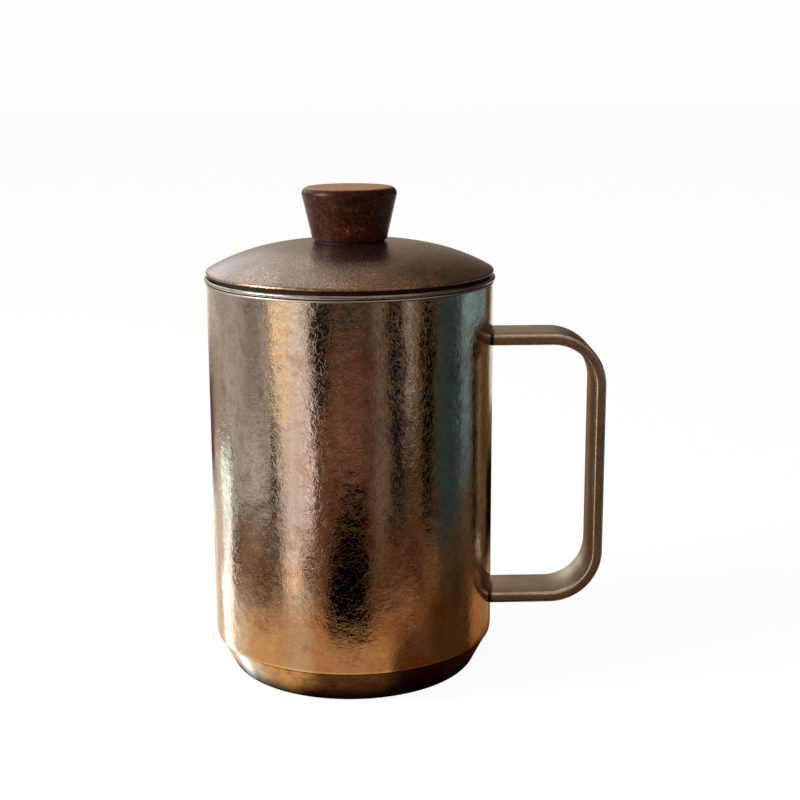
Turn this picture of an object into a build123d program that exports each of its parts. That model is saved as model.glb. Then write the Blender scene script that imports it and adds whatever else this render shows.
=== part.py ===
# Double-walled metal tea mug with a lift-out infuser basket and a loose domed lid.
# The origin is on the mug's axis in the plane of its foot, +Z is up and +X points to the handle.
# Lengths are in millimetres and angles in degrees.
import os
from math import cos, pi, radians, sin, tan

from build123d import *

# Mug body
mug_height = 114.25           # foot to lip
wall_radius = 41.0            # straight outside wall
shell_sheet = 0.6
jacket_gap = 1.8              # insulating space between shell and liner
liner_sheet = 0.6
liner_floor_height = 6.5      # underside of the liner's floor
liner_corner = 6.0            # bend inside the liner, where wall meets floor
lip_bend = 0.8                # bend inside the lip
lip_overhang = 0.15           # lip flange past the wall
lip_rounding = 0.25

# Base cap
seam_height = 10.3            # where the cap meets the shell
foot_curve = 12.0             # radius of the wall as it draws in towards the seam
foot_turn = 8.0               # how far that curve turns inwards
seam_step = 0.15              # the cap stands this far inside the shell
cap_sheet = 0.6
cap_taper = 27.6              # slope of the cap's side from upright
cap_corner = 3.0              # bend between side and flat foot

# Handle
handle_reach = 73.5           # axis to the outside of the grip
handle_top = 99.1
handle_bottom = 18.2
handle_width = 16.9
handle_thickness = 3.3
handle_corner = 15.5          # outside radius of both bends
handle_rounding = 1.2

# Fits
rest_gap = 0.2                # between stacked rims that rest on each other
infuser_clearance = 0.4       # collar inside the liner
seal_clearance = 0.3          # seal lip inside the collar

# Infuser
infuser_sheet = 0.6
basket_sheet = 0.5
bead_radius = 0.6
bead_overhang = 0.55          # bead past the mug's wall
rim_bend = 0.4
basket_depth = 76.5           # lip to the underside of the basket's floor
basket_lap = 3.0              # wall overlapping the collar
pan_upstand = 4.0             # turned-up edge of the floor
pan_bend = 1.5
hole_diameter = 1.6
hole_pitch = 5.6              # along a row, and from ring to ring on the floor
hole_rise = 4.8               # from row to row up the wall
hole_margin = 3.0             # plain sheet around every perforated field
hole_zone = 48.0              # height of the perforated field on the wall

# Lid
hem_overhang = 0.1            # hem past the mug's wall
hem_width = 1.6
hem_rounding = 0.7
hem_edge = 0.3
dome_sheet = 0.9              # measured upright
dome_rise = 8.65              # hem's underside to the knob's seat
rim_rise = 0.75               # hem's underside to where the dome's curve ends
dome_rim_slope = 30.0
dome_seat_slope = 2.6
lid_sheet = 0.6
skirt_depth = 9.3             # hem's underside to the skirt's lower edge
skirt_bend = 0.4
seal_flange = 1.35            # thickness of the seal under the hem
seal_wall = 1.2               # thickness of the seal around the skirt
seal_inset = 0.9              # the seal's edge inside the hem's
seal_lift = 2.0               # the seal's lower edge above the skirt's
seal_rounding = 0.3

# Knob and its fastening
knob_foot_radius = 10.65
knob_top_radius = 14.0
knob_height = 14.8
knob_edge = 1.9
knob_foot_edge = 0.3
gasket_thickness = 0.6
gasket_inset = 0.7            # the gasket's edge inside the knob's foot
screw_radius = 2.5
screw_clearance = 0.25
screw_grip = 8.0              # thread inside the insert
head_radius = 4.75
head_height = 3.0
head_rounding = 1.2
recess_width = 1.1
recess_span = 5.2
recess_depth = 1.6
washer_radius = 6.5
washer_thickness = 1.0
insert_radius = 3.6
insert_length = 9.0
insert_tip = 0.5              # blind space above the insert

# Places that follow from the sizes above
seam_radius = wall_radius - foot_curve * (1 - cos(radians(foot_turn)))
curve_start = seam_height + foot_curve * sin(radians(foot_turn))
cap_top_radius = seam_radius - seam_step
cap_foot_radius = cap_top_radius - seam_height * tan(radians(cap_taper))
liner_radius = wall_radius - shell_sheet - jacket_gap - liner_sheet
lip_radius = wall_radius + lip_overhang
collar_radius = liner_radius - infuser_clearance
basket_radius = collar_radius - infuser_sheet
basket_inside = basket_radius - basket_sheet
basket_floor = mug_height - basket_depth
bead_outside = wall_radius + bead_overhang
rim_underside = mug_height + rest_gap
rim_top = rim_underside + infuser_sheet
seal_underside = rim_top + rest_gap
hem_underside = seal_underside + seal_flange
hem_radius = wall_radius + hem_overhang
hem_inside = hem_radius - hem_width
seal_outside = basket_radius - seal_clearance
skirt_radius = seal_outside - seal_wall
skirt_underside = hem_underside - skirt_depth
basket_top = skirt_underside - rest_gap
collar_underside = basket_top - basket_lap
seat_height = hem_underside + dome_rise
knob_underside = seat_height + gasket_thickness
washer_underside = seat_height - dome_sheet - washer_thickness
screw_hole = screw_radius + screw_clearance


def outline(*corners):
    # An open path of (radius, height, bend) corners in the XZ plane.
    points = [(radius, height) for radius, height, _ in corners]
    bends = [bend for _, _, bend in corners[1:-1]]
    return FilletPolyline(points, radius=bends)


def sheet_section(path, sheet, side):
    # Section of a sheet of one thickness, laid on one side of a path.
    return make_face(offset(path, sheet, side=side).edges())


def turned(section):
    return revolve(Plane.XZ * section, Axis.Z)


def spun(path, sheet, side):
    return turned(sheet_section(path, sheet, side))


def solid_ring(*corners):
    # A closed section of (radius, height, rounding) corners, turned about the axis.
    points = [(radius, height) for radius, height, _ in corners]
    bends = [bend for _, _, bend in corners]
    return turned(make_face(FilletPolyline(points, radius=bends, close=True)))


def rim_edges(solid, radius):
    # The circular edges of one radius, from the lowest up.
    circles = solid.edges().filter_by(GeomType.CIRCLE)
    return circles.filter_by(lambda edge: abs(edge.radius - radius) < 0.01).sort_by(Axis.Z)


def disc(radius, low, high):
    return extrude(Plane.XY.offset(low) * Circle(radius), high - low)


def beyond_seam(upwards):
    # Section of all that lies above or below the seam, to cut a sheet back to a level edge.
    edge = Align.MIN if upwards else Align.MAX
    return Pos(0, seam_height) * Rectangle(3 * wall_radius, mug_height, align=(Align.CENTER, edge))


def outer_shell():
    shell_top = mug_height - liner_sheet
    wall = Line((wall_radius, shell_top), (wall_radius, curve_start))
    past_seam = 3.0               # extra turn, cut back at the seam
    foot = JernArc(wall @ 1, wall % 1, foot_curve, -foot_turn - past_seam)
    section = sheet_section(Wire([wall.edge(), foot.edge()]), shell_sheet, Side.RIGHT)
    return turned(section - beyond_seam(upwards=False))


def base_cap():
    past_seam = 2.0               # extra height, cut back at the seam
    side = outline(
        (cap_top_radius + past_seam * tan(radians(cap_taper)), seam_height + past_seam, 0),
        (cap_foot_radius, 0, cap_corner),
        (0, 0, 0),
    )
    section = sheet_section(side, cap_sheet, Side.RIGHT)
    return turned(section - beyond_seam(upwards=True))


def inner_liner():
    inside = outline(
        (lip_radius, mug_height, 0),
        (liner_radius, mug_height, lip_bend),
        (liner_radius, liner_floor_height + liner_sheet, liner_corner),
        (0, liner_floor_height + liner_sheet, 0),
    )
    liner = spun(inside, liner_sheet, Side.LEFT)
    return fillet(rim_edges(liner, lip_radius), min(lip_rounding, 0.45 * liner_sheet))


def handle_strap():
    outside = outline(
        (0, handle_top, 0),
        (handle_reach, handle_top, handle_corner),
        (handle_reach, handle_bottom, handle_corner),
        (0, handle_bottom, 0),
    )
    section = make_face(offset(outside, handle_thickness, side=Side.RIGHT).edges())
    strap = extrude(Plane.XZ * section, handle_width / 2, both=True)
    along = strap.edges().group_by(Axis.Y)
    strap = fillet(along[0] + along[-1], min(handle_rounding, 0.45 * handle_thickness))
    return strap - disc(wall_radius, 0, mug_height)


def infuser_rim():
    bead_centre = bead_outside - bead_radius
    flange_and_collar = outline(
        (bead_centre, rim_underside, 0),
        (collar_radius, rim_underside, rim_bend),
        (collar_radius, collar_underside, 0),
    )
    sheet = spun(flange_and_collar, infuser_sheet, Side.RIGHT)
    bead_place = Location((bead_centre, rim_underside + bead_radius))
    return sheet + turned(bead_place * Circle(bead_radius))


def wall_holes():
    # Staggered rows of short radial pins, which cut the holes in the basket's wall.
    around = int(2 * pi * basket_radius // hole_pitch)
    rows = int(hole_zone // hole_rise) + 1
    lowest = basket_floor + pan_upstand + hole_margin
    pin = Rot(0, 90, 0) * Cylinder(hole_diameter / 2, 4 * basket_sheet)
    pins = []
    for row in range(rows):
        height = lowest + row * hole_rise
        for column in range(around):
            turn = (column + (row % 2) / 2) * 360 / around
            pins.append(Rot(0, 0, turn) * Pos(basket_radius, 0, height) * pin)
    return pins


def infuser_wall():
    # The holes are cut in the outside skin, which then gets its thickness inwards.
    skin = disc(basket_radius, basket_floor, basket_top).faces().filter_by(GeomType.CYLINDER)[0]
    return Solid.thicken(skin.cut(*wall_holes()), -basket_sheet)


def infuser_floor():
    pan_path = outline(
        (0, basket_floor, 0),
        (basket_inside, basket_floor, pan_bend),
        (basket_inside, basket_floor + pan_upstand, 0),
    )
    pan = spun(pan_path, basket_sheet, Side.LEFT)
    rings = int((basket_inside - pan_bend - hole_margin) // hole_pitch)
    holes = Sketch() + Circle(hole_diameter / 2)
    for ring in range(1, rings + 1):
        holes += PolarLocations(ring * hole_pitch, 6 * ring) * Circle(hole_diameter / 2)
    return pan - extrude(Plane.XY.offset(basket_floor) * holes, 2 * basket_sheet)


def dome_curve(drop):
    # The dome's line from the knob's seat to its rim, lowered by the given drop.
    seat, rim = knob_foot_radius, hem_radius
    third = (rim - seat) / 3
    seat_z, rim_z = seat_height - drop, hem_underside + rim_rise - drop
    return Bezier(
        (seat, seat_z),
        (seat + third, seat_z - third * tan(radians(dome_seat_slope))),
        (rim - third, rim_z + third * tan(radians(dome_rim_slope))),
        (rim, rim_z),
    )


def under_dome(drop, floor):
    # Section of everything under the dome's line, from the axis out to the rim.
    curve = dome_curve(drop)
    rim, seat = curve @ 1, curve @ 0
    return make_face([
        curve.edge(),
        Line(rim, (rim.X, floor)).edge(),
        Line((rim.X, floor), (0, floor)).edge(),
        Line((0, floor), (0, seat.Y)).edge(),
        Line((0, seat.Y), seat).edge(),
    ])


def lid_dome():
    well_below = hem_underside - dome_rise
    hollow = under_dome(dome_sheet, well_below)
    inside_hem = Pos(hem_inside / 2, hem_underside) * Rectangle(hem_inside, 4 * dome_rise)
    dome = turned(under_dome(0, hem_underside) - (hollow & inside_hem))
    dome = fillet(rim_edges(dome, hem_radius)[-1], hem_rounding)
    dome = fillet(rim_edges(dome, hem_radius)[0], hem_edge)
    return dome - disc(screw_hole, hem_underside, seat_height)


def lid_skirt():
    flange_and_skirt = outline(
        (hem_inside, hem_underside, 0),
        (skirt_radius, hem_underside, skirt_bend),
        (skirt_radius, skirt_underside, 0),
    )
    return spun(flange_and_skirt, lid_sheet, Side.RIGHT)


def lid_seal():
    low = skirt_underside + seal_lift
    return solid_ring(
        (skirt_radius, hem_underside, skirt_bend),
        (hem_radius - seal_inset, hem_underside, 0),
        (hem_radius - seal_inset, seal_underside, seal_rounding),
        (seal_outside, seal_underside, seal_rounding),
        (seal_outside, low, seal_rounding),
        (skirt_radius, low, 0),
    )


def knob():
    top = knob_underside + knob_height
    body = solid_ring(
        (0, knob_underside, 0),
        (knob_foot_radius, knob_underside, knob_foot_edge),
        (knob_top_radius, top, knob_edge),
        (0, top, 0),
    )
    return body - disc(insert_radius, knob_underside, knob_underside + insert_length + insert_tip)


def knob_gasket():
    radius = knob_foot_radius - gasket_inset
    return disc(radius, seat_height, knob_underside) - disc(screw_hole, seat_height, knob_underside)


def knob_insert():
    top = knob_underside + insert_length
    return disc(insert_radius, knob_underside, top) - disc(screw_radius, knob_underside, top)


def knob_washer():
    top = washer_underside + washer_thickness
    return disc(washer_radius, washer_underside, top) - disc(screw_hole, washer_underside, top)


def knob_screw():
    head_underside = washer_underside - head_height
    head = solid_ring(
        (0, head_underside, 0),
        (head_radius, head_underside, head_rounding),
        (head_radius, washer_underside, 0),
        (0, washer_underside, 0),
    )
    shank = disc(screw_radius, washer_underside, knob_underside + screw_grip)
    slot = Pos(0, 0, head_underside) * Box(recess_span, recess_width, 2 * recess_depth)
    return head + shank - slot - Rot(0, 0, 90) * slot


pieces = [
    outer_shell, base_cap, inner_liner, handle_strap,
    infuser_rim, infuser_wall, infuser_floor,
    lid_dome, lid_skirt, lid_seal,
    knob, knob_gasket, knob_insert, knob_washer, knob_screw,
]

os.makedirs("parts", exist_ok=True)
for piece in pieces:
    export_step(piece(), f"parts/{piece.__name__}.step")
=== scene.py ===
from math import radians

import bpy
from mathutils import Euler, Matrix, Vector

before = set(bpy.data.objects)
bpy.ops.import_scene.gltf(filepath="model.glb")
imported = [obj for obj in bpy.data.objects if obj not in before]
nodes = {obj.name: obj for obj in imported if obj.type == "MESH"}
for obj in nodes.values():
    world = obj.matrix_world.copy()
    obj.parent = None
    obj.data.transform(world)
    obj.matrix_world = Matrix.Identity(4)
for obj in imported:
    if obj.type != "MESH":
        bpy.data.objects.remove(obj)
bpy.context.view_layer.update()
bpy.ops.object.select_all(action="DESELECT")
print("frame loaded")

mm = 0.001


def linear(code):
    # sRGB hex to the linear colour that Blender works in
    parts = [int(code[i:i + 2], 16) / 255 for i in (1, 3, 5)]
    return [c / 12.92 if c <= 0.04045 else ((c + 0.055) / 1.055) ** 2.4 for c in parts] + [1.0]


def setInputs(tree, node, inputs):
    # an input takes a link from another node's output, or a plain value
    for socket, value in inputs.items():
        if isinstance(value, bpy.types.NodeSocket):
            tree.links.new(value, node.inputs[socket])
        else:
            node.inputs[socket].default_value = value


def addNode(tree, kind, inputs={}, out=0, stops=(), **settings):
    # One shader node with its settings, inputs and ramp stops. It gives back the output named
    # by out, or all of them for None. The inputs of a Mix share their names, so they go by
    # number: 0 is the factor, 2 and 3 are two numbers, 6 and 7 are two colours.
    node = tree.nodes.new("ShaderNode" + kind)
    for name, value in settings.items():
        setattr(node, name, value)
    setInputs(tree, node, inputs)
    if stops:
        ramp = node.color_ramp.elements
        for end, (position, code) in ((0, stops[0]), (-1, stops[-1])):
            ramp[end].position, ramp[end].color = position, linear(code)
        for position, code in stops[1:-1]:
            ramp.new(position).color = linear(code)
    return node.outputs if out is None else node.outputs[out]


def newMaterial(name):
    material = bpy.data.materials.new(name)
    material.use_nodes = True
    tree = material.node_tree
    place = addNode(tree, "TexCoord", out="Object")
    return material, tree, tree.nodes["Principled BSDF"], place


def seenRays(tree):
    # 1 where the camera, a mirror or a glass looks, and 0 for the light that falls on things
    rays = addNode(tree, "LightPath", out=None)
    seen = addNode(tree, "Math", {0: rays["Is Camera Ray"], 1: rays["Is Glossy Ray"]}, operation="MAXIMUM")
    return addNode(tree, "Math", {0: seen, 1: rays["Is Transmission Ray"]}, operation="MAXIMUM")


def dress(material, *names):
    for name in names:
        for slot in nodes[name].material_slots:
            slot.material = material


# Camera, at eye height over the edge of a table
view = {
    "place": (0, -0.4227, 0.1741),
    "down": 12.74, "right": 1.92, "roll": -0.22,  # degrees
    "lens": 66.69, "sensor": 36,  # mm
    "nearest": 0.01,
}
bpy.ops.object.camera_add(location=view["place"])
camera = bpy.context.object
turn = Euler((radians(90 - view["down"]), 0, radians(-view["right"]))).to_matrix()
camera.rotation_euler = (turn @ Matrix.Rotation(radians(view["roll"]), 3, "Z")).to_euler()
camera.data.lens = view["lens"]
camera.data.sensor_width = view["sensor"]
camera.data.clip_start = view["nearest"]
bpy.context.scene.camera = camera
bpy.context.scene.view_settings.view_transform = "Standard"
print("camera set")


# Light: a pale room, one soft window at the front left and a weak fill at the right
light = {
    "room": "#FFFFFF", "roomLevel": 0.3, "seenLevel": 0.98,  # looked at, the room is brighter than its light
    "aim": (0, 0, 0.07),
    "lamps": {
        "window": {"place": (-1.15, -0.35, 0.5), "size": (0.35, 0.6), "power": 24.0, "tint": "#FFF4E6"},
        "fill": {"place": (0.6, -1.0, 0.9), "size": (0.6, 0.6), "power": 2.5, "tint": "#F2F4FF"},
    },
}
world = bpy.data.worlds.new("paleRoom")
bpy.context.scene.world = world
world.use_nodes = True
tree = world.node_tree
tree.nodes.clear()
level = addNode(tree, "MapRange", {"Value": seenRays(tree), "To Min": light["roomLevel"],
                                   "To Max": light["seenLevel"]})
glow = addNode(tree, "Background", {"Color": linear(light["room"]), "Strength": level})
addNode(tree, "OutputWorld", {"Surface": glow}, out=None)

for name, lamp in light["lamps"].items():
    bpy.ops.object.light_add(type="AREA", location=lamp["place"])
    area = bpy.context.object
    area.name = name
    area.data.shape = "RECTANGLE"
    area.data.size, area.data.size_y = lamp["size"]
    area.data.energy = lamp["power"]
    area.data.color = linear(lamp["tint"])[:3]
    area.rotation_euler = (Vector(light["aim"]) - area.location).to_track_quat("-Z", "Y").to_euler()


# Floor, which is almost white and keeps the soft shadow
ground = {"size": 12, "matt": "#F4F4F4", "glow": "#FFFFFF", "glowLevel": 1.03, "glowShare": 0.92}
bpy.ops.mesh.primitive_plane_add(size=ground["size"])
floor = bpy.context.object
floor.name = "floor"
material, tree, shader, place = newMaterial("pale matt card")
tree.nodes.remove(shader)
glow = addNode(tree, "Emission", {"Color": linear(ground["glow"]), "Strength": ground["glowLevel"]})
matt = addNode(tree, "BsdfDiffuse", {"Color": linear(ground["matt"])})
share = addNode(tree, "Math", {0: seenRays(tree), 1: ground["glowShare"]}, operation="MULTIPLY")
both = addNode(tree, "MixShader", {0: share, 1: matt, 2: glow})
setInputs(tree, tree.nodes["Material Output"], {"Surface": both})
floor.data.materials.append(material)


# Reflector: a bowl of card round the mug, painted like the table and the room that polished
# metal mirrors. Only the metal sees it. A patch's "round" is in degrees to the right of the
# camera. Its "up" is how high on the mug's wall it shows, in mm, and past 118 it is on the
# bowl's own wall, 5 mm higher. Its "soft" is half of how wide its edges fade, in degrees and
# mm. Later patches cover earlier ones.
bowl = {
    "facets": 128,
    "rings": [(0.03, 0.0002), (0.05, 0.0002), (0.09, 0.0002), (0.16, 0.0002), (0.3, 0.0002),
              (0.5, 0.0002), (0.7, 0.02), (0.85, 0.12), (0.9, 0.3), (0.95, 0.6), (0.9, 1.1),
              (0.6, 1.5), (0.2, 1.65), (0.01, 1.67)],  # radius and height
    "mugRadius": 0.041, "eyeHeight": 0.174,
    "eyeAway": 0.341,  # from the eye to the mug's axis, less the mug's width
    "climb": 200,  # how many mm of "up" one metre of the bowl's height takes
    "ground": "#785D40",
    "sway": (9, 7), "swayScale": (0.02, 0.05, 1),  # how far the edges wander, in degrees and mm
    "cloud": 0.45, "cloudScale": (0.05, 0.05, 1), "streak": 0.3, "streakScale": (0.3, 0.02, 1),
    "uneven": (0.25, 0.75),  # the part of the noise that makes clouds and streaks
    "still": (4, 25),  # under the first height nothing sways, over the second all of it does
}
patches = {
    "ceiling": {"round": (-200, 200), "up": (150, 500), "tint": "#AF9A87", "soft": (5, 30)},
    "far wall top": {"round": (-200, 200), "up": (120, 265), "tint": "#A29280", "soft": (5, 35)},
    "ceiling in front": {"round": (-100, 110), "up": (200, 500), "tint": "#B59A89", "soft": (25, 40)},
    "window in front": {"round": (-95, -45), "up": (150, 320), "tint": "#FFFEFC", "level": 1.56, "soft": (12, 30)},
    "dark room": {"round": (60, 170), "up": (125, 365), "tint": "#4A3C32", "soft": (13, 20)},
    "window behind": {"round": (-172, -108), "up": (170, 470), "tint": "#F8FEFF", "level": 1.45, "soft": (12, 20)},
    "table in the sun": {"round": (-114, -22), "up": (-9, 25), "tint": "#FFFAEC", "level": 1.05, "soft": (9, 11)},
    "table in front": {"round": (-34, 40), "up": (-9, 22), "tint": "#DBCBBA", "soft": (7, 4)},
    "table at the right": {"round": (18, 56), "up": (19, 31), "tint": "#BDA38D", "soft": (5, 4)},
    "darker table": {"round": (36, 62), "up": (-9, 24), "tint": "#736251", "soft": (7, 7)},
    "shadow on the table": {"round": (30, 62), "up": (-9, 15), "tint": "#62492F", "soft": (5, 4)},
    "chair seat": {"round": (64, 120), "up": (-9, 42), "tint": "#574D36", "soft": (6, 6)},
    "chair rail": {"round": (56, 74), "up": (30, 50), "tint": "#93745B", "soft": (3, 6)},
    "bowl on the table": {"round": (44, 55), "up": (34, 47), "tint": "#5C4232", "soft": (4, 5)},
    "cupboard": {"round": (-26, 15), "up": (46, 102), "tint": "#9B725A", "soft": (4, 6)},
    "tray": {"round": (-21, 13), "up": (19.5, 64), "tint": "#040708", "soft": (3, 3)},
    "box side": {"round": (-27, -14), "up": (47, 64), "tint": "#83573F", "soft": (3, 5)},
    "lintel": {"round": (-31, 18), "up": (104, 150), "tint": "#464E50", "soft": (3, 3)},
    "door frame": {"round": (-29, -17), "up": (84, 118), "tint": "#241F1D", "soft": (3, 8)},
    "hinge side": {"round": (9, 17), "up": (66, 106), "tint": "#74543F", "soft": (3, 9)},
    "grey jamb": {"round": (18, 28), "up": (54, 118), "tint": "#93857B", "soft": (3, 10)},
    "dark gap": {"round": (29, 41), "up": (52, 118), "tint": "#1A1C24", "soft": (3, 12)},
    "blind": {"round": (44, 52), "up": (74, 118), "tint": "#BEB9B3", "soft": (3, 10)},
    "shelf side": {"round": (57, 70), "up": (50, 118), "tint": "#0A0504", "soft": (3, 12)},
    "blue wall": {"round": (72, 101), "up": (46, 125), "tint": "#405659", "soft": (4, 6)},
    "blue wall in the light": {"round": (99, 110), "up": (62, 125), "tint": "#8DB8C9", "soft": (3, 10)},
    "bookcase": {"round": (112, 184), "up": (20, 140), "tint": "#6D583E", "soft": (3, 6)},
    "blue wall by the ceiling": {"round": (104, 137), "up": (104, 125), "tint": "#9DCAD7", "soft": (3, 5)},
    "far lamp": {"round": (154, 174), "up": (78, 118), "tint": "#E8E0CE", "level": 1.2, "soft": (3, 6)},
    "dark panel": {"round": (147, 178), "up": (30, 64), "tint": "#180A03", "soft": (3, 6)},
    "table behind": {"round": (118, 172), "up": (2, 25), "tint": "#B8946A", "level": 1.1, "soft": (6, 5)},
    "net curtain": {"round": (-184, -119), "up": (66, 125), "tint": "#C6B8AB", "soft": (4, 12)},
    "net curtain's top": {"round": (-176, -121), "up": (98, 125), "tint": "#EAE8DC", "level": 1.15, "soft": (4, 6)},
    "grey wall": {"round": (-124, -68), "up": (44, 125), "tint": "#EBEFF1", "soft": (4, 8)},
    "wall stain": {"round": (-96, -76), "up": (80, 125), "tint": "#B2ACAC", "soft": (9, 14)},
    "cloth in the sun": {"round": (-137, -119), "up": (-9, 68), "tint": "#E1F6FF", "level": 3.13, "soft": (3, 5)},
    "cloth beside it": {"round": (-200, -137), "up": (-9, 70), "tint": "#FFF0D5", "level": 1.1, "soft": (3, 6)},
    "door behind": {"round": (-200, -153), "up": (54, 92), "tint": "#6E4A3C", "soft": (5, 8)},
    "sun on the edge": {"round": (-124, -99), "up": (-9, 22), "tint": "#D2ECFF", "level": 1.81, "soft": (5, 7)},
    "low sun": {"round": (-147, -127), "up": (-2, 26), "tint": "#B0D6FF", "level": 6.0, "soft": (5, 5)},
    "curtain edge": {"round": (-67, -61), "up": (40, 84), "tint": "#3F3A39", "soft": (1.5, 8)},
    "white curtain": {"round": (-60, -32), "up": (30, 125), "tint": "#FFFAFB", "level": 1.5, "soft": (2, 8)},
    "curtain's top": {"round": (-54, -36), "up": (92, 125), "tint": "#FFFAFB", "level": 1.75, "soft": (3, 8)},
    "box by the curtain": {"round": (-43, -27), "up": (30, 45), "tint": "#96765E", "soft": (4, 5)},
    "table in shade": {"round": (-112, -55.5), "up": (37, 54), "tint": "#978374", "soft": (4, 6)},
    "light on the table": {"round": (-102, -85), "up": (37, 54), "tint": "#BCA690", "soft": (5, 6)},
    "lamp shade": {"round": (-66, -51), "up": (84, 125), "tint": "#FFEECC", "level": 2.05, "soft": (2, 8)},
    "curtain in the table": {"round": (-56, -36), "up": (2, 32), "tint": "#E4F0FF", "level": 1.23, "soft": (4, 5)},
    "shade in front": {"round": (-44, 50), "up": (-9, 2.2), "tint": "#6A5F60", "soft": (18, 1.4)},
    "shade right under": {"round": (-60, 50), "up": (-9, -0.9), "tint": "#494139", "soft": (16, 1.0)},
    "shade at the right": {"round": (34, 176), "up": (-9, 3.5), "tint": "#1C0A04", "soft": (20, 4)},
    "shade by the foot": {"round": (106, 176), "up": (-9, 7), "tint": "#2A1608", "soft": (10, 5)},
    "shade under the mug": {"round": (-200, 200), "up": (-9, -1.7), "tint": "#000000", "soft": (1, 1.2)},
}
firstRadius, firstHeight = bowl["rings"][0]
bpy.ops.mesh.primitive_circle_add(vertices=bowl["facets"], radius=firstRadius, location=(0, 0, firstHeight))
reflector = bpy.context.object
reflector.name = "reflector"
bpy.ops.object.mode_set(mode="EDIT")
for (inner, low), (outer, high) in zip(bowl["rings"], bowl["rings"][1:]):
    bpy.ops.mesh.extrude_edges_move(TRANSFORM_OT_translate={"value": (0, 0, high - low)})
    bpy.ops.transform.resize(value=(outer / inner, outer / inner, 1))
bpy.ops.object.mode_set(mode="OBJECT")
bpy.ops.object.transform_apply(location=True, rotation=True, scale=True)

# how far round and how high a point of the bowl shows on the mug's wall
material, tree, shader, place = newMaterial("painted card")
tree.nodes.remove(shader)
height = addNode(tree, "SeparateXYZ", {0: place}, out="Z")
flat = addNode(tree, "VectorMath", {0: place, 1: (1, 1, 0)}, operation="MULTIPLY")
reach = addNode(tree, "VectorMath", {0: flat}, out="Value", operation="LENGTH")
facing = addNode(tree, "Mapping", {"Vector": flat, "Rotation": (0, 0, radians(90))})
turn = addNode(tree, "TexGradient", {"Vector": facing}, out="Fac", gradient_type="RADIAL")
turn = addNode(tree, "MapRange", {"Value": turn, "To Min": -180, "To Max": 180})
bend = addNode(tree, "Math", {0: bowl["mugRadius"] / 2, 1: reach}, operation="DIVIDE")
bend = addNode(tree, "Math", {0: 1.0, 1: bend}, operation="SUBTRACT")
turn = addNode(tree, "Math", {0: turn, 1: bend}, operation="DIVIDE")
away = addNode(tree, "Math", {0: reach, 1: bowl["mugRadius"]}, operation="SUBTRACT")
away = addNode(tree, "Math", {0: away, 1: bowl["eyeHeight"] / mm}, operation="MULTIPLY")
span = addNode(tree, "Math", {0: reach, 1: bowl["eyeAway"]}, operation="ADD")
rise = addNode(tree, "Math", {0: away, 1: span}, operation="DIVIDE")
rise = addNode(tree, "Math", {0: height, 1: bowl["climb"], 2: rise}, operation="MULTIPLY_ADD")

# nothing in a room is dead straight or even, so the edges sway and the paint is cloudy
drawn = addNode(tree, "CombineXYZ", {"X": turn, "Y": rise})
sway = addNode(tree, "Mapping", {"Vector": drawn, "Scale": bowl["swayScale"]})
sway = addNode(tree, "TexNoise", {"Vector": sway, "Scale": 1.0, "Detail": 3.0, "Roughness": 0.6}, out="Color")
sway = addNode(tree, "SeparateXYZ", {0: sway}, out=None)
near = addNode(tree, "MapRange", {"Value": rise, "From Min": bowl["still"][0], "From Max": bowl["still"][1]})
swayed = []
for straight, axis, amount in zip((turn, rise), ("X", "Y"), bowl["sway"]):
    shift = addNode(tree, "MapRange", {"Value": sway[axis], "To Min": -amount, "To Max": amount})
    shift = addNode(tree, "Math", {0: shift, 1: near}, operation="MULTIPLY")
    swayed.append(addNode(tree, "Math", {0: straight, 1: shift}, operation="ADD"))

card = linear(bowl["ground"])
for patch in patches.values():
    masks = []
    for value, (low, high), soft in zip(swayed, (patch["round"], patch["up"]), patch["soft"]):
        half = (high - low) / 2
        off = addNode(tree, "Math", {0: value, 1: (low + high) / 2}, operation="SUBTRACT")
        off = addNode(tree, "Math", {0: off}, operation="ABSOLUTE")
        masks.append(addNode(tree, "MapRange", {"Value": off, "From Min": half + soft, "From Max": half - soft},
                             interpolation_type="SMOOTHSTEP"))
    mask = addNode(tree, "Math", {0: masks[0], 1: masks[1]}, operation="MULTIPLY")
    paint = [channel * patch.get("level", 1.0) for channel in linear(patch["tint"])]
    card = addNode(tree, "Mix", {0: mask, 6: card, 7: paint}, out=2, data_type="RGBA")
for kind in ("cloud", "streak"):
    depth, (thin, thick) = bowl[kind], bowl["uneven"]
    mottle = addNode(tree, "Mapping", {"Vector": drawn, "Scale": bowl[kind + "Scale"]})
    mottle = addNode(tree, "TexNoise", {"Vector": mottle, "Scale": 1.0, "Detail": 3.0})
    mottle = addNode(tree, "MapRange", {"Value": mottle, "From Min": thin, "From Max": thick,
                                        "To Min": -depth, "To Max": depth})
    mottle = addNode(tree, "Math", {0: mottle, 1: near, 2: 1.0}, operation="MULTIPLY_ADD")
    card = addNode(tree, "VectorMath", {0: card, 1: mottle}, operation="MULTIPLY")
glow = addNode(tree, "Emission", {"Color": card, "Strength": 1.0})
setInputs(tree, tree.nodes["Material Output"], {"Surface": glow})
reflector.data.materials.append(material)
reflector.visible_camera = False
reflector.visible_diffuse = False
reflector.visible_shadow = False
print("stage set")


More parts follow.
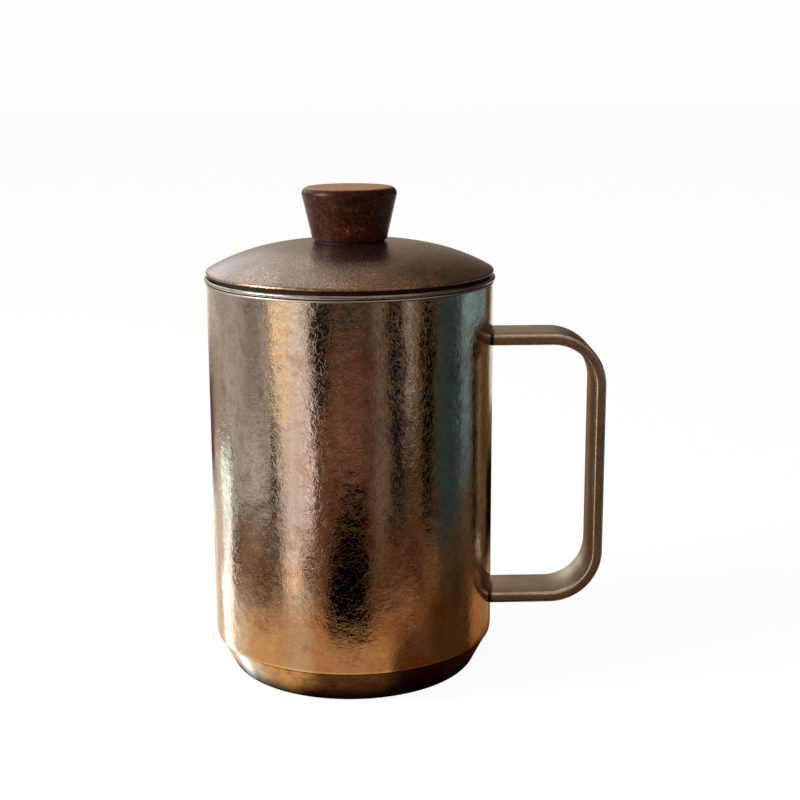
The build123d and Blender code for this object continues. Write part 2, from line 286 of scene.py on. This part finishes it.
# Drawn stainless steel, crinkled and tinted: mirror-bright, but every reflection is
# ragged. The tint runs from pale bronze at the lip to copper at the foot, and the copper is a
# painted reflection of the warm table. A painted highlight brightens the shell's edge just over
# the seam. The crinkles are calmer on the side of the handle.
wall = {
    "folds": [(2.6, 0.06, 0.010, 0), (1.6, 0.07, 0.007, 31)],  # size, crease width, depth and shift,
    # all in mm but the crease width, which is a part of the noise
    "waves": [(1.0, 0.016), (1.9, 0.026), (6.0, 0.14)],  # size and depth in mm
    "calm": (30, 39.5, 0.6),  # from and to in mm beside the axis, and the depth that is left
    "lip": "#AC9A88", "waist": "#B0947A", "foot": "#BC8A5A",
    "footToLip": (18, 58), "stain": (20, 16),  # mm that the tint runs between, from the painted copper at the foot to the lip, and its stains' size and sway
    "blush": [(0.33, "#E4D4C6"), (0.5, "#FFFFFF"), (0.67, "#EAE8E4")], "blushSize": 6.25,  # mm
    "seamHighlight": (10.5, 11.0, 1.5),  # a painted highlight on the shell's edge over the seam: from and to in mm over the table, and how many times as bright
    "rough": 0.085,
}
material, tree, shader, place = newMaterial("crinkled tinted steel")
inMm = addNode(tree, "Mapping", {"Vector": place, "Scale": (1 / mm, 1 / mm, 1 / mm)})
across = addNode(tree, "SeparateXYZ", {0: inMm}, out=None)
stainSize, stainSway = wall["stain"]
stain = addNode(tree, "TexNoise", {"Vector": inMm, "Scale": 1 / stainSize, "Detail": 4.0, "Roughness": 0.6})
stain = addNode(tree, "MapRange", {"Value": stain, "To Min": -stainSway, "To Max": stainSway})
height = addNode(tree, "Math", {0: across["Z"], 1: stain}, operation="ADD")
# from the foot's copper, a painted reflection of the warm table, to the lip's pale bronze
footToLip = addNode(tree, "MapRange", {"Value": height, "From Min": wall["footToLip"][0], "From Max": wall["footToLip"][1]},
               interpolation_type="SMOOTHSTEP")
tint = addNode(tree, "ValToRGB", {"Fac": footToLip}, stops=[(0, wall["foot"]), (0.5, wall["waist"]), (1, wall["lip"])])
blush = addNode(tree, "TexNoise", {"Vector": inMm, "Scale": 1 / wall["blushSize"], "Detail": 5.0, "Roughness": 0.7})
blush = addNode(tree, "ValToRGB", {"Fac": blush}, stops=wall["blush"])
tint = addNode(tree, "Mix", {0: 1.0, 6: tint, 7: blush}, out=2, data_type="RGBA", blend_type="MULTIPLY")
# painted highlight on the shell's lower edge, just over the seam
low, high, bright = wall["seamHighlight"]
seamHighlight = addNode(tree, "MapRange", {"Value": across["Z"], "From Min": low, "From Max": high,
                                  "To Min": bright, "To Max": 1.0})
tint = addNode(tree, "VectorMath", {0: tint, 1: seamHighlight}, operation="MULTIPLY")
low, high, left = wall["calm"]
calm = addNode(tree, "MapRange", {"Value": across["X"], "From Min": low, "From Max": high,
                                  "To Min": 1.0, "To Max": left})
bumps = []
for size, width, depth, shift in wall["folds"]:
    moved = addNode(tree, "Mapping", {"Vector": inMm, "Location": (shift, shift, shift)})
    folds = addNode(tree, "TexNoise", {"Vector": moved, "Scale": 1 / size, "Detail": 2.0, "Distortion": 1.0})
    off = addNode(tree, "Math", {0: folds, 1: 0.5}, operation="SUBTRACT")
    off = addNode(tree, "Math", {0: off}, operation="ABSOLUTE")
    line = addNode(tree, "MapRange", {"Value": off, "From Max": width}, interpolation_type="SMOOTHSTEP")
    bumps.append((line, depth))
for size, depth in wall["waves"]:
    bumps.append((addNode(tree, "TexNoise", {"Vector": inMm, "Scale": 1 / size, "Detail": 2.0}), depth))
under = {}
for field, depth in bumps:
    bump = addNode(tree, "Bump", {"Height": field, "Distance": depth * mm, "Strength": calm, **under})
    under = {"Normal": bump}
setInputs(tree, shader, {"Base Color": tint, "Roughness": wall["rough"], "Metallic": 1.0, "Normal": bump})
dress(material, "outer_shell")


# Pressed cap, polished: golden copper, a painted reflection of the warm table, with small dark
# freckles, smoother than the wall, with painted shade in the seam and a painted contact shadow
# darker towards the table
cap = {
    "tints": [(0.3, "#8E5A28"), (0.48, "#B67E42"), (0.7, "#C8945A")],
    "freckle": (2.2, 0.03),  # size and depth in mm
    "seamShade": (9.7, 10.1, 0.12), "contactShadow": (0.5, 5.0, 0.4),  # from and to in mm, and the shade: the painted shade in the seam, then the painted contact shadow towards the table
    "rough": 0.2,
}
material, tree, shader, place = newMaterial("polished copper-tinted steel")
size, depth = cap["freckle"]
freckles = addNode(tree, "TexNoise", {"Vector": place, "Scale": 1 / (size * mm), "Detail": 5.0, "Roughness": 0.7})
# the golden copper is a painted reflection of the warm table
tint = addNode(tree, "ValToRGB", {"Fac": freckles}, stops=cap["tints"])
height = addNode(tree, "SeparateXYZ", {0: place}, out="Z")
# painted shade in the seam under the shell's edge
low, high, shade = cap["seamShade"]
seamShade = addNode(tree, "MapRange", {"Value": height, "From Min": low * mm, "From Max": high * mm,
                                  "To Min": 1.0, "To Max": shade})
tint = addNode(tree, "VectorMath", {0: tint, 1: seamShade}, operation="MULTIPLY")
# painted contact shadow, darker towards the table
low, high, shade = cap["contactShadow"]
contactShadow = addNode(tree, "MapRange", {"Value": height, "From Min": low * mm, "From Max": high * mm,
                                    "To Min": shade, "To Max": 1.0})
tint = addNode(tree, "VectorMath", {0: tint, 1: contactShadow}, operation="MULTIPLY")
bump = addNode(tree, "Bump", {"Height": freckles, "Distance": depth * mm, "Strength": 1.0})
setInputs(tree, shader, {"Base Color": tint, "Roughness": cap["rough"], "Metallic": 1.0, "Normal": bump})
dress(material, "base_cap")


# Rolled bead, buffed: smooth bright steel with soft cloudy wear
bead = {
    "tints": [(0.3, "#9A8C80"), (0.7, "#B9AEA3")],
    "wear": (5, 0.02),  # size and depth in mm
    "rough": (0.16, 0.3),
}
material, tree, shader, place = newMaterial("buffed rolled steel")
size, depth = bead["wear"]
wear = addNode(tree, "TexNoise", {"Vector": place, "Scale": 1 / (size * mm), "Detail": 5.0, "Roughness": 0.65})
rough = addNode(tree, "MapRange", {"Value": wear, "To Min": bead["rough"][0], "To Max": bead["rough"][1]})
tint = addNode(tree, "ValToRGB", {"Fac": wear}, stops=bead["tints"])
bump = addNode(tree, "Bump", {"Height": wear, "Distance": depth * mm, "Strength": 1.0})
setInputs(tree, shader, {"Base Color": tint, "Roughness": rough, "Metallic": 1.0, "Normal": bump})
dress(material, "infuser_rim")


# Deep-drawn steel, left satin from the die: fine lines round the axis over a cool grey
# (drawn at 0.4 mm, coarser than the real 0.05 mm, so that they show)
satin = {
    "tints": [(0.2, "#A8A39C"), (0.8, "#C2BDB6")],
    "lines": (25, 25, 0.4), "depth": 0.006,  # sizes on the three axes, and depth, in mm
    "rough": (0.24, 0.42),
}
material, tree, shader, place = newMaterial("satin deep-drawn steel")
lines = addNode(tree, "Mapping", {"Vector": place, "Scale": [1 / (size * mm) for size in satin["lines"]]})
lines = addNode(tree, "TexNoise", {"Vector": lines, "Scale": 1.0, "Detail": 3.0, "Roughness": 0.6})
rough = addNode(tree, "MapRange", {"Value": lines, "To Min": satin["rough"][0], "To Max": satin["rough"][1]})
tint = addNode(tree, "ValToRGB", {"Fac": lines}, stops=satin["tints"])
bump = addNode(tree, "Bump", {"Height": lines, "Distance": satin["depth"] * mm, "Strength": 1.0})
setInputs(tree, shader, {"Base Color": tint, "Roughness": rough, "Metallic": 1.0, "Normal": bump})
dress(material, "inner_liner", "lid_skirt")


# Punched sheet, tumbled after punching: pale matt steel, greyer where tea has stained it
# (the grit of 0.5 mm is coarser than the real one of about 0.1 mm, so that it shows)
punched = {
    "tints": [(0.3, "#9E968C"), (0.5, "#B9B4AC"), (0.7, "#C3BFB9")],
    "grit": (0.5, 0.012), "teaStain": 16,  # sizes and depth in mm
    "rough": (0.28, 0.46),
}
material, tree, shader, place = newMaterial("tumbled punched steel")
size, depth = punched["grit"]
grit = addNode(tree, "TexNoise", {"Vector": place, "Scale": 1 / (size * mm), "Detail": 3.0, "Roughness": 0.7})
tea = addNode(tree, "TexNoise", {"Vector": place, "Scale": 1 / (punched["teaStain"] * mm), "Detail": 4.0})
tint = addNode(tree, "ValToRGB", {"Fac": tea}, stops=punched["tints"])
rough = addNode(tree, "MapRange", {"Value": grit, "To Min": punched["rough"][0], "To Max": punched["rough"][1]})
bump = addNode(tree, "Bump", {"Height": grit, "Distance": depth * mm, "Strength": 1.0})
setInputs(tree, shader, {"Base Color": tint, "Roughness": rough, "Metallic": 1.0, "Normal": bump})
dress(material, "infuser_wall", "infuser_floor")
print("wall, cap, liner and infuser dressed")


# Flat bar with rounded edges, linished along its length: satin bronze-grey, with painted shade on
# its sides and a painted warm shade on the faces that turn down. The rounded edges carry a painted
# highlight broken into small flecks, the flat faces carry painted shade towards the front edge and
# on the front half of the grip, and the weld is black by the wall.
# The grit of 0.7 mm stands for finer linishing of about 0.1 mm, coarse enough to show.
bar = {
    "tints": [(0.3, "#AE9E8C"), (0.6, "#DCCCBA")], "level": 2.0,
    "grit": (0.7, 0.012), "wear": 9,  # sizes and depth in mm
    "weld": (41.35, 41.95, 0.06),  # from and to in mm from the axis, and the shade
    "under": "#D8A078", "underFrom": (-0.7, -0.3),  # how far a face has turned down, for the painted warm shade of the faces that turn down
    "face": (-7.6, -2.5), "faceShades": (0.33, 0.55),  # painted shade across the flat faces: front edge and middle, where in mm, and the shade
    "side": (0.2, 0.4),  # how far an edge has turned where the side's painted shade and the painted edge highlight take over
    "sideShades": [(0.3, "#DADADA"), (0.5, "#FFFFFF"), (0.78, "#F3F3F3"), (0.93, "#A29E99")],
    "fleck": (0.5, 0.06), "fleckFrom": (6.8, 7.8),  # size and depth, and how far out they start, in mm
    "highlightSpeckle": (0.42, 0.6, 0.6),  # from and to in the flecks' noise, and the shade between the flecks of the painted highlight
    "grip": (58, 66), "gripShade": (-2.5, 3.0),  # from and to in mm, from the axis and across the bar, of the painted shade on the grip
    "gripShadeTint": "#8A6A4A",
    "rough": (0.24, 0.38),
}
material, tree, shader, place = newMaterial("linished bronze-grey bar")
ways = addNode(tree, "SeparateXYZ", {0: place}, out=None)
faces = addNode(tree, "SeparateXYZ", {0: addNode(tree, "TexCoord", out="Normal")}, out=None)
size, gritDepth = bar["grit"]
grit = addNode(tree, "TexNoise", {"Vector": place, "Scale": 1 / (size * mm), "Detail": 4.0, "Roughness": 0.65})
wear = addNode(tree, "TexNoise", {"Vector": place, "Scale": 1 / (bar["wear"] * mm), "Detail": 3.0})
both = addNode(tree, "Mix", {0: 0.5, 2: grit, 3: wear}, data_type="FLOAT")
tint = addNode(tree, "ValToRGB", {"Fac": both}, stops=bar["tints"])
flat = addNode(tree, "VectorMath", {0: place, 1: (1, 1, 0)}, operation="MULTIPLY")
reach = addNode(tree, "VectorMath", {0: flat}, out="Value", operation="LENGTH")
low, high, shade = bar["weld"]
weld = addNode(tree, "MapRange", {"Value": reach, "From Min": low * mm, "From Max": high * mm,
                                  "To Min": shade, "To Max": 1.0})
tint = addNode(tree, "VectorMath", {0: tint, 1: weld}, operation="MULTIPLY")
# painted warm shade on the faces that turn down
low, high = bar["underFrom"]
under = addNode(tree, "MapRange", {"Value": faces["Z"], "From Min": low, "From Max": high})
under = addNode(tree, "Mix", {0: under, 6: linear(bar["under"]), 7: linear("#FFFFFF")}, out=2, data_type="RGBA")
tint = addNode(tree, "VectorMath", {0: tint, 1: under}, operation="MULTIPLY")

# the flat faces: painted shade, darker towards the front edge and on the front half of the grip
(low, high), (dark, pale) = bar["face"], bar["faceShades"]
face = addNode(tree, "MapRange", {"Value": ways["Y"], "From Min": low * mm, "From Max": high * mm,
                                  "To Min": dark, "To Max": pale})
low, high = bar["grip"]
grip = addNode(tree, "MapRange", {"Value": ways["X"], "From Min": low * mm, "From Max": high * mm})
# painted shade on the front half of the grip
low, high = bar["gripShade"]
gripShade = addNode(tree, "MapRange", {"Value": ways["Y"], "From Min": low * mm, "From Max": high * mm})
gripShade = addNode(tree, "Mix", {0: gripShade, 6: linear(bar["gripShadeTint"]), 7: linear("#FFFFFF")},
                  out=2, data_type="RGBA")
gripShade = addNode(tree, "Mix", {0: grip, 6: linear("#FFFFFF"), 7: gripShade}, out=2, data_type="RGBA")
face = addNode(tree, "VectorMath", {0: face, 1: gripShade}, operation="MULTIPLY")

# the edges and sides: a painted highlight on the rounded edges, broken into flecks, and painted shade on the sides
size, fleckDepth = bar["fleck"]
flecks = addNode(tree, "TexNoise", {"Vector": place, "Scale": 1 / (size * mm), "Detail": 3.0, "Roughness": 0.7})
side = addNode(tree, "Math", {0: faces["Y"]}, operation="ABSOLUTE")
low, high = bar["side"]
turned = addNode(tree, "MapRange", {"Value": side, "From Min": low, "From Max": high})
low, high, shade = bar["highlightSpeckle"]
highlightSpeckle = addNode(tree, "MapRange", {"Value": flecks, "From Min": low, "From Max": high,
                                    "To Min": shade, "To Max": 1.0})
edge = addNode(tree, "ValToRGB", {"Fac": side}, stops=bar["sideShades"])
edge = addNode(tree, "VectorMath", {0: edge, 1: highlightSpeckle}, operation="MULTIPLY")
shades = addNode(tree, "Mix", {0: turned, 6: face, 7: edge}, out=2, data_type="RGBA")
tint = addNode(tree, "VectorMath", {0: tint, 1: shades}, operation="MULTIPLY")
tint = addNode(tree, "VectorMath", {0: tint, "Scale": bar["level"]}, operation="SCALE")
rough = addNode(tree, "MapRange", {"Value": grit, "To Min": bar["rough"][0], "To Max": bar["rough"][1]})
outer = addNode(tree, "Math", {0: ways["Y"]}, operation="ABSOLUTE")
low, high = bar["fleckFrom"]
outer = addNode(tree, "MapRange", {"Value": outer, "From Min": low * mm, "From Max": high * mm})
bump = addNode(tree, "Bump", {"Height": grit, "Distance": gritDepth * mm, "Strength": 1.0})
bump = addNode(tree, "Bump", {"Height": flecks, "Distance": fleckDepth * mm, "Strength": outer, "Normal": bump})
setInputs(tree, shader, {"Base Color": tint, "Roughness": rough, "Metallic": 1.0, "Normal": bump})
dress(material, "handle_strap")
print("handle dressed")


# Spun steel under a baked bronze lacquer: a sandy brown ground with a faint orange peel that
# blurs what it mirrors, and a clear coat that whitens its brightest side
lacquer = {
    "tints": [(0.36, "#4E3828"), (0.5, "#82644E"), (0.64, "#BC9E86")],
    "grain": (0.6, 0.07), "peel": (2.2, 0.11), "cloud": 14, "cloudShare": 0.35,  # sizes and depths in mm
    "rough": (0.2, 0.36), "coat": 0.8, "coatRough": 0.25,
}
material, tree, shader, place = newMaterial("baked bronze lacquer")
(grainSize, grainDepth), (peelSize, peelDepth) = lacquer["grain"], lacquer["peel"]
grain = addNode(tree, "TexNoise", {"Vector": place, "Scale": 1 / (grainSize * mm), "Detail": 3.0, "Roughness": 0.75})
cloud = addNode(tree, "TexNoise", {"Vector": place, "Scale": 1 / (lacquer["cloud"] * mm), "Detail": 3.0})
both = addNode(tree, "Mix", {0: lacquer["cloudShare"], 2: grain, 3: cloud}, data_type="FLOAT")
tint = addNode(tree, "ValToRGB", {"Fac": both}, stops=lacquer["tints"])
rough = addNode(tree, "MapRange", {"Value": grain, "To Min": lacquer["rough"][0], "To Max": lacquer["rough"][1]})
peel = addNode(tree, "TexNoise", {"Vector": place, "Scale": 1 / (peelSize * mm), "Detail": 2.0})
bump = addNode(tree, "Bump", {"Height": peel, "Distance": peelDepth * mm, "Strength": 1.0})
bump = addNode(tree, "Bump", {"Height": grain, "Distance": grainDepth * mm, "Strength": 1.0, "Normal": bump})
setInputs(tree, shader, {"Base Color": tint, "Roughness": rough, "Metallic": 1.0, "Normal": bump,
                         "Coat Weight": lacquer["coat"], "Coat Roughness": lacquer["coatRough"]})
dress(material, "lid_dome")


# Turned and oiled walnut: fine dark pores in a red-brown ground under a thin oil film, painted
# paler on the top as if lit from above (the pores are drawn at 0.8 mm, coarser than the real
# 0.2 mm, so that they show)
walnut = {
    "side": [(0.36, "#140602"), (0.5, "#2E1208"), (0.6, "#442014"), (0.72, "#785040")],
    "top": [(0.36, "#9C6444"), (0.64, "#C48A66")], "topFrom": (0.8, 0.99),  # how far a face has turned up, for the painted light on the top
    "pores": (1.1111, 0.76923, 0.76923), "poreDepth": 0.06,  # sizes on the three axes, and depth, in mm
    "rings": (33.333, 4.1667, 4.1667), "ringShare": 0.3,
    "rough": (0.28, 0.42), "gloss": 0.1, "oil": 0.5, "oilIor": 1.15, "oilRough": 0.2,
}
material, tree, shader, place = newMaterial("oiled walnut")
faces = addNode(tree, "SeparateXYZ", {0: addNode(tree, "TexCoord", out="Normal")}, out=None)
# the top is painted paler, as if lit from above
low, high = walnut["topFrom"]
litTop = addNode(tree, "MapRange", {"Value": faces["Z"], "From Min": low, "From Max": high},
               interpolation_type="SMOOTHSTEP")
pores = addNode(tree, "Mapping", {"Vector": place, "Scale": [1 / (size * mm) for size in walnut["pores"]]})
pores = addNode(tree, "TexNoise", {"Vector": pores, "Scale": 1.0, "Detail": 3.0, "Roughness": 0.7, "Distortion": 0.5})
rings = addNode(tree, "Mapping", {"Vector": place, "Scale": [1 / (size * mm) for size in walnut["rings"]]})
rings = addNode(tree, "TexNoise", {"Vector": rings, "Scale": 1.0, "Detail": 3.0, "Distortion": 1.2})
figure = addNode(tree, "Mix", {0: walnut["ringShare"], 2: pores, 3: rings}, data_type="FLOAT")
side = addNode(tree, "ValToRGB", {"Fac": figure}, stops=walnut["side"])
top = addNode(tree, "ValToRGB", {"Fac": figure}, stops=walnut["top"])
tint = addNode(tree, "Mix", {0: litTop, 6: side, 7: top}, out=2, data_type="RGBA")
rough = addNode(tree, "MapRange", {"Value": pores, "To Min": walnut["rough"][0], "To Max": walnut["rough"][1]})
bump = addNode(tree, "Bump", {"Height": pores, "Distance": walnut["poreDepth"] * mm, "Strength": 1.0})
setInputs(tree, shader, {"Base Color": tint, "Roughness": rough, "Normal": bump, "Specular IOR Level": walnut["gloss"],
                         "Coat Weight": walnut["oil"], "Coat IOR": walnut["oilIor"],
                         "Coat Roughness": walnut["oilRough"]})
dress(material, "knob")


# Moulded silicone, matt black with a trace of dust
silicone = {"tints": [(0.4, "#080605"), (0.7, "#15110F")], "dust": 1.5, "rough": (0.5, 0.8), "gloss": 0.2}
material, tree, shader, place = newMaterial("black silicone")
dust = addNode(tree, "TexNoise", {"Vector": place, "Scale": 1 / (silicone["dust"] * mm), "Detail": 5.0})
tint = addNode(tree, "ValToRGB", {"Fac": dust}, stops=silicone["tints"])
rough = addNode(tree, "MapRange", {"Value": dust, "To Min": silicone["rough"][0], "To Max": silicone["rough"][1]})
setInputs(tree, shader, {"Base Color": tint, "Roughness": rough, "Specular IOR Level": silicone["gloss"]})
dress(material, "lid_seal", "knob_gasket")


# Turned brass, and a bright zinc-plated screw and washer: fine turning lines, yellow and blue-white
# (drawn at 0.3 mm, coarser than the real 0.1 mm, so that they show)
fittings = {
    "lines": (3.3333, 3.3333, 0.28571), "rough": (0.18, 0.34),  # sizes on the three axes, in mm
    "metals": {
        "turned brass": {"tints": [(0.25, "#A8833A"), (0.75, "#CBA658")], "on": ["knob_insert"]},
        "bright zinc plate": {"tints": [(0.25, "#A4A8AC"), (0.75, "#C8CCD0")], "on": ["knob_washer", "knob_screw"]},
    },
}
for name, metal in fittings["metals"].items():
    material, tree, shader, place = newMaterial(name)
    lines = addNode(tree, "Mapping", {"Vector": place, "Scale": [1 / (size * mm) for size in fittings["lines"]]})
    lines = addNode(tree, "TexNoise", {"Vector": lines, "Scale": 1.0, "Detail": 3.0})
    rough = addNode(tree, "MapRange", {"Value": lines, "To Min": fittings["rough"][0], "To Max": fittings["rough"][1]})
    tint = addNode(tree, "ValToRGB", {"Fac": lines}, stops=metal["tints"])
    setInputs(tree, shader, {"Base Color": tint, "Roughness": rough, "Metallic": 1.0})
    dress(material, *metal["on"])
print("lid, knob and seals dressed")
